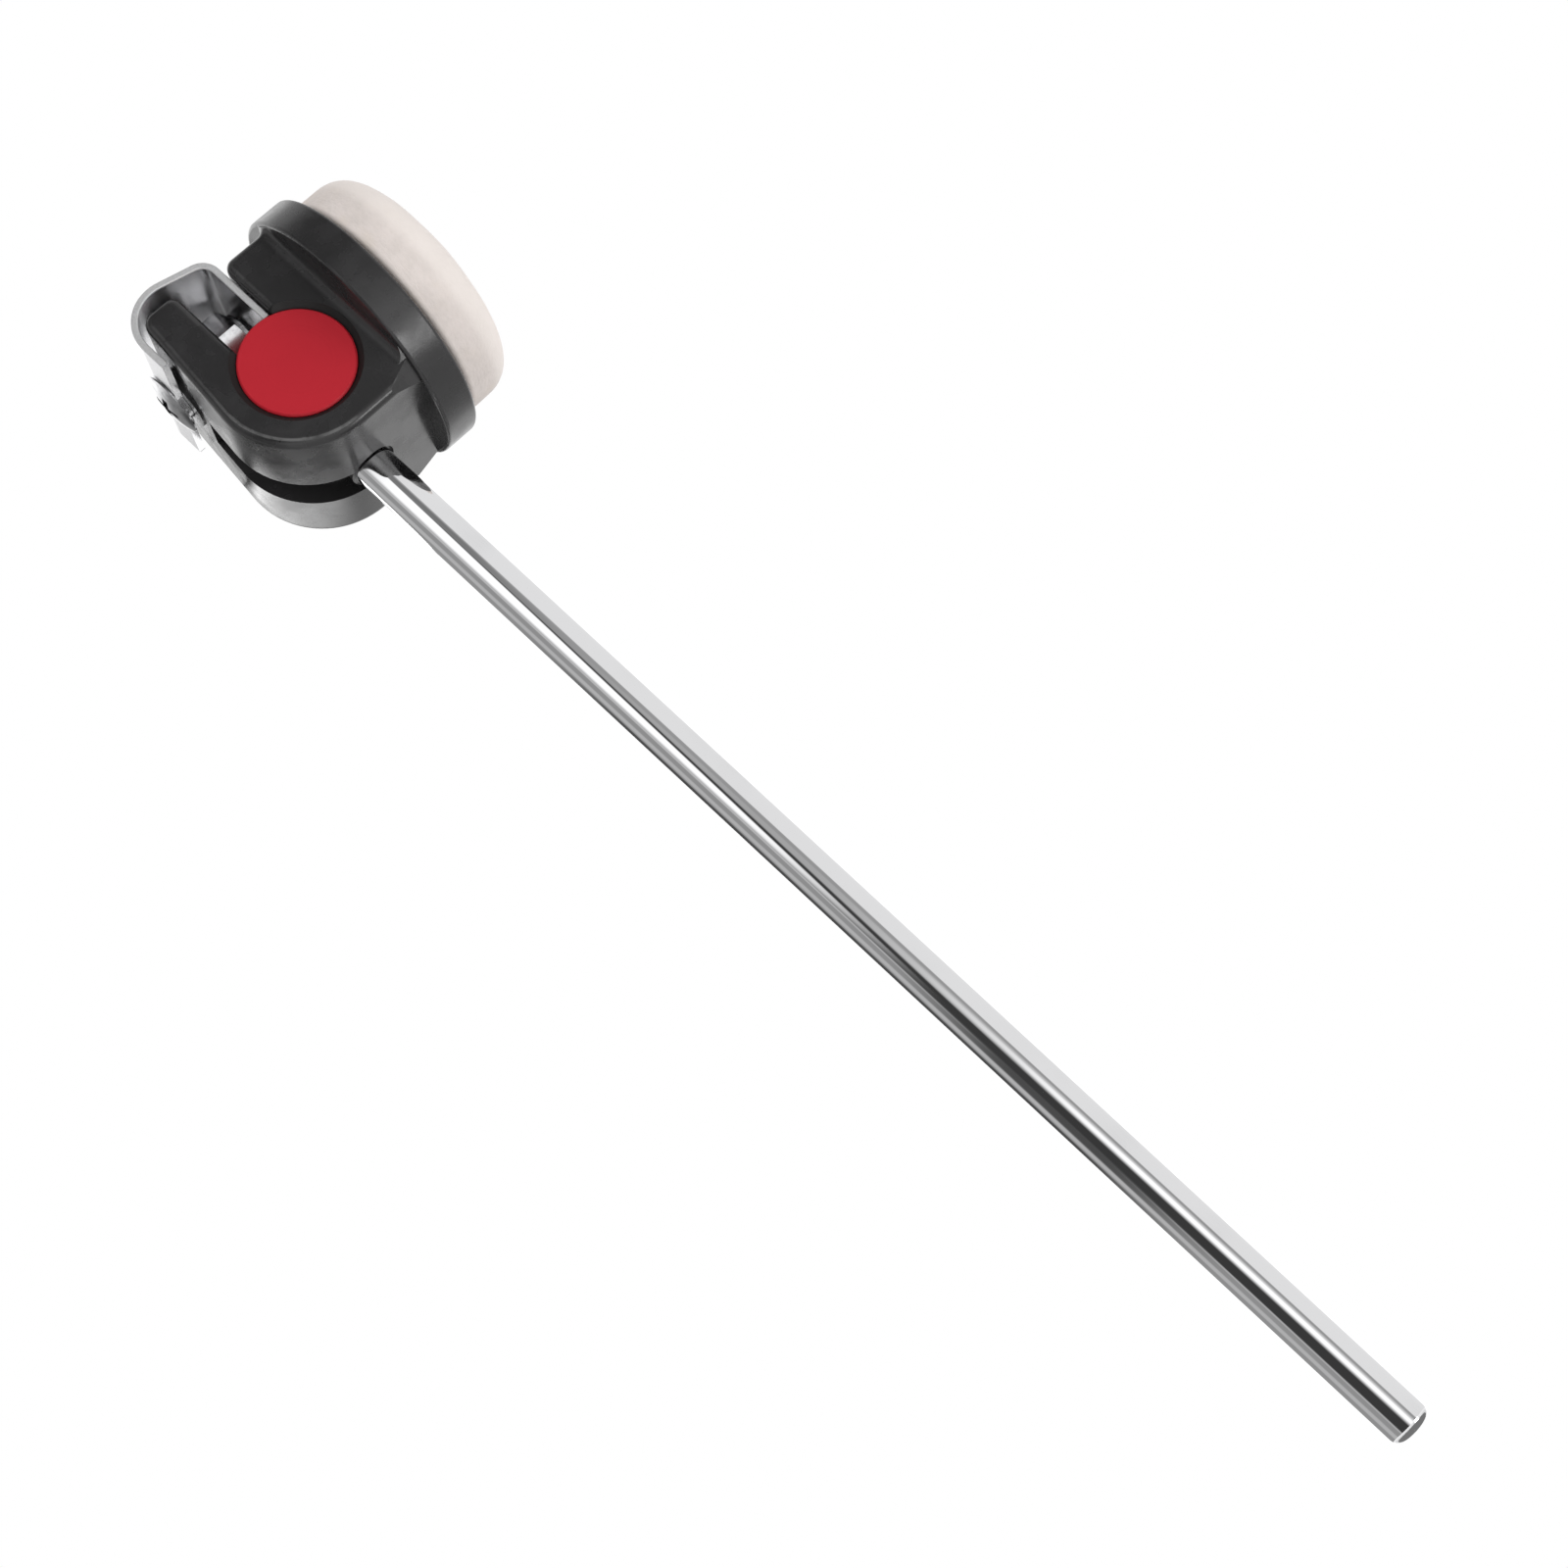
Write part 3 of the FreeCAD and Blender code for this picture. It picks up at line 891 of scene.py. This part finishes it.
STUDIO_WALLS: Tuple[Panel, ...] = (
    Panel("backdrop on the felt's side", Edge(158.0), Edge(190.0), 1.4),
    Panel("backdrop on the clip's side", Edge(-190.0), Edge(-162.0), 1.4),
    Panel("left wall", Edge(-160.0, 8.0), Edge(-55.0, 16.0), 0.31, top=0.43, soft=0.08),
    Panel("left gap", Edge(-160.0, 8.0), Edge(-121.0, 10.0), 0.08, bottom=-0.06, top=0.28, soft=0.08),
    Panel("high backdrop", Edge(-170.0), Edge(-115.0), 1.6, bottom=0.51, soft=0.1),
    Panel("left strip", Edge(-110.0, 12.0), Edge(-85.0, 10.0), 0.49),
    Panel("dark room", Edge(-53.0, 10.0), Edge(39.0, 9.0, -27.0), 0.045),
    Panel("dark doorway", Edge(-84.0, 14.0), Edge(-46.0, 10.0), 0.08, bottom=-0.07, top=0.06, soft=0.08),
    Panel("grey screen", Edge(-13.5, 10.0, 50.0), Edge(39.0, 9.0, -27.0), 0.42, bottom=0.04, soft=0.12),
    Panel("screen's dark top", Edge(-13.5, 10.0, 50.0), Edge(35.0, 8.0, -27.0), 0.2, bottom=0.3, soft=0.14),
    Panel("screen's lit edge", Edge(24.0, 8.0, -27.0), Edge(40.0, 8.0, -27.0), 0.34, top=0.3, soft=0.14),
    Panel("low window", Edge(-4.0, 22.0, -30.0), Edge(23.0, 22.0, -27.0), 1.25, top=0.05, soft=0.2),
    Panel("high window", Edge(-47.0, 30.0), Edge(-36.0, 8.0, 95.0), 1.25, bottom=0.13, soft=0.14),
    Panel("dark ceiling", Edge(-60.0, 40.0), Edge(85.0, 40.0), 0.14, bottom=0.405, soft=0.05),
    Panel("pale ground", Edge(-60.0, 16.0), Edge(45.0, 16.0), 1.5, top=-0.36, soft=0.08),
)


class Spread(Enum):
    """The axis that a card is spread about: its direction and the one that its angles start from."""

    ABOUT_WEIGHT = ((0.0, 1.0, 0.0), (-1.0, 0.0, 0.0))
    ABOUT_SHAFT = ((0.0, 0.0, 1.0), (0.0, -1.0, 0.0))


@dataclass(frozen=True)
class Card:
    """A flat ring, or part of one, near the object, which only reflections see.

    It stands across the axis of the weight or the shaft. With a fade, its glow falls towards the felt to the
    felt's share and fades out between once and twice that height above the axis.
    """

    name: str
    spread: Spread
    offset: float
    inner: float
    outer: float
    start: float
    end: float
    level: float
    felt_share: float = 1.0
    fall_share: float = 0.25
    fade: float = 0.0
    steps: int = 24

    def centre(self) -> Vector:
        """Finds the ring's centre.

        Returns:
            The point on the axis that the ring stands at.
        """
        axis = Vector(self.spread.value[0])
        node = "counterweight" if self.spread is Spread.ABOUT_WEIGHT else "shaft"
        across = Vector((1.0, 1.0, 1.0)) - axis
        return Vector(middle(node)) * across + axis * self.offset

    def sheet_mesh(self) -> bpy.types.Mesh:
        """Spins a short line about the axis.

        Returns:
            The flat ring's mesh.
        """
        axis, first = (Vector(way) for way in self.spread.value)
        centre = self.centre()
        mesh = bmesh.new()
        line = Quaternion(axis, -math.radians(self.start)) @ first
        inner = mesh.verts.new(centre + line * self.inner)
        outer = bmesh.ops.extrude_vert_indiv(mesh, verts=[inner])["verts"][0]
        outer.co = centre + line * self.outer
        bmesh.ops.spin(
            mesh,
            geom=list(mesh.verts) + list(mesh.edges),
            cent=centre,
            axis=axis,
            angle=math.radians(self.start - self.end),
            steps=self.steps,
            use_merge=self.end - self.start == FULL_TURN,
        )
        data = bpy.data.meshes.new(self.name)
        mesh.to_mesh(data)
        mesh.free()
        return data

    def material(self) -> bpy.types.Material:
        """Makes the card's even or falling glow.

        Returns:
            An emitting material.
        """
        made = bpy.data.materials.new(self.name)
        made.use_nodes = True
        sheet = NodeSheet(made.node_tree)
        level: Link = self.level
        if self.fade:
            centre = self.centre()
            x, _, z = sheet.axes(sheet.place_in_piece())
            towards_felt = x.rise(centre.x - self.inner, centre.x - self.inner * self.fall_share)
            above = z.rise(centre.z + self.fade, centre.z + 2 * self.fade)
            level = (1 - towards_felt * (1 - self.felt_share)) * (1 - above) * self.level
        glow = sheet.signal("ShaderNodeEmission", "Emission", {}, {"Color": WHITE, "Strength": level})
        sheet.place("ShaderNodeOutputMaterial", {}, {"Surface": glow})
        return made

    def build(self) -> None:
        """Stands the card and hides it from everything but reflections."""
        data = self.sheet_mesh()
        data.materials.append(self.material())
        card = bpy.data.objects.new(self.name, data)
        bpy.context.scene.collection.objects.link(card)
        card.visible_camera = False
        card.visible_diffuse = False
        card.visible_shadow = False
        card.visible_transmission = False
        LOG.info("stood %s", self.name)


@dataclass
class Studio:
    """The white room: a floor, walls that the camera doesn't see, cards for reflections and soft lamps."""

    viewpoint: Viewpoint
    walls: Tuple[Panel, ...] = STUDIO_WALLS
    wall_level: float = 0.84
    floor_drop: float = 300.0 * MM
    floor_radius: float = 900.0 * MM
    floor_sides: int = 96
    shadow_radius: float = 450.0 * MM
    white_radius: float = 850.0 * MM
    floor_colour: Colour = (0.86, 0.86, 0.86, 1.0)
    cards: Tuple[Card, ...] = (
        Card(
            "ring_card", Spread.ABOUT_WEIGHT, offset=25.0 * MM, inner=19.0 * MM, outer=28.0 * MM,
            start=-30.0, end=110.0, level=3.1, felt_share=0.3, fade=5.0 * MM,
        ),
        Card(
            "tip_card", Spread.ABOUT_SHAFT, offset=-40.0 * MM, inner=1.0 * MM, outer=60.0 * MM,
            start=0.0, end=FULL_TURN, level=0.2,
        ),
    )
    lamps: Tuple[SoftLamp, ...] = (
        SoftLamp("key_lamp", (-0.55, -0.95, 0.9), 0.7, 6.8),
        SoftLamp("felt_lamp", (0.9, -0.6, 0.1), 0.8, 3.5),
        SoftLamp("low_lamp", (0.155, -0.29, -0.16), 0.16, 0.4, mirrored=True),
    )

    def build_world(self) -> None:
        """Makes a world that is white to the camera and through glass and a walled studio to other rays."""
        world = bpy.data.worlds.new("studio")
        world.use_nodes = True
        bpy.context.scene.world = world
        sheet = NodeSheet(world.node_tree)
        way = sheet.signal("ShaderNodeTexCoord", "Generated", {}, {})
        towards = Vector((self.viewpoint.eye[0], self.viewpoint.eye[1], 0.0)).normalized()
        beside = Vector((-towards.y, towards.x, 0.0))
        ahead = sheet.vectors("DOT_PRODUCT", "Value", way, towards)
        aside = sheet.vectors("DOT_PRODUCT", "Value", way, beside)
        azimuth = sheet.maths("ARCTAN2", aside, ahead) * math.degrees(1.0)
        _, _, height = sheet.axes(way)
        level: Link = self.wall_level
        for wall in self.walls:
            level = wall.cover(azimuth, height) * (wall.level - level) + level
            LOG.info("painted the %s", wall.name)
        seen = sheet.ray("Is Camera Ray", "Is Transmission Ray")
        inputs = {"Color": WHITE, "Strength": seen + (1 - seen) * level}
        light = sheet.signal("ShaderNodeBackground", "Background", {}, inputs)
        sheet.place("ShaderNodeOutputWorld", {}, {"Surface": light})

    def build_floor(self) -> None:
        """Makes a pale disc that takes the shadow and turns white further out."""
        mesh = bmesh.new()
        bmesh.ops.create_circle(mesh, cap_ends=True, segments=self.floor_sides, radius=self.floor_radius)
        bmesh.ops.translate(mesh, verts=list(mesh.verts), vec=(0.0, 0.0, CAD_BOX[0].z - self.floor_drop))
        data = bpy.data.meshes.new("floor")
        mesh.to_mesh(data)
        mesh.free()
        floor = bpy.data.objects.new("floor", data)
        bpy.context.scene.collection.objects.link(floor)
        data.materials.append(self.floor_material())
        LOG.info("laid the floor")

    def floor_material(self) -> bpy.types.Material:
        """Makes the floor's material.

        Returns:
            A pale matt paint near the object and plain white beyond.
        """
        made = bpy.data.materials.new("studio_floor")
        made.use_nodes = True
        sheet = NodeSheet(made.node_tree)
        radius = sheet.radius(sheet.place_in_piece(), Turned.ABOUT_Z, (0.0, 0.0, 0.0))
        seen = sheet.ray("Is Camera Ray", "Is Glossy Ray", "Is Transmission Ray")
        white = sheet.signal("ShaderNodeEmission", "Emission", {}, {"Color": WHITE, "Strength": 1.0})
        paint = sheet.signal("ShaderNodeBsdfDiffuse", "BSDF", {}, {"Color": self.floor_colour})
        share = seen * radius.rise(self.shadow_radius, self.white_radius)
        mixed = sheet.signal("ShaderNodeMixShader", "Shader", {}, {0: share, 1: paint, 2: white})
        sheet.place("ShaderNodeOutputMaterial", {}, {"Surface": mixed})
        return made

    def build_lamps(self) -> None:
        """Hangs the lamps, each turned to the head."""
        aim = Vector(middle("head_body"))
        for lamp in self.lamps:
            data = bpy.data.lights.new(lamp.name, "AREA")
            data.size = lamp.size
            data.energy = lamp.watts
            holder = bpy.data.objects.new(lamp.name, data)
            bpy.context.scene.collection.objects.link(holder)
            holder.location = lamp.place
            holder.rotation_mode = "QUATERNION"
            holder.rotation_quaternion = (aim - holder.location).to_track_quat("-Z", "Y")
            holder.visible_glossy = lamp.mirrored
            LOG.info("hung %s", lamp.name)

    def build(self) -> None:
        """Builds the whole studio."""
        bpy.context.scene.view_settings.view_transform = "Standard"
        self.build_world()
        self.build_floor()
        for card in self.cards:
            card.build()
        self.build_lamps()
        self.viewpoint.build()


def main() -> None:
    """Builds the studio, the striker and the weight's clamp, in that order."""
    logging.basicConfig(level=logging.INFO, format="%(message)s")
    Studio(Viewpoint()).build()
    Striker(FeltPad()).build()
    WeightClamp().build()


if __name__ == "__main__":
    main()
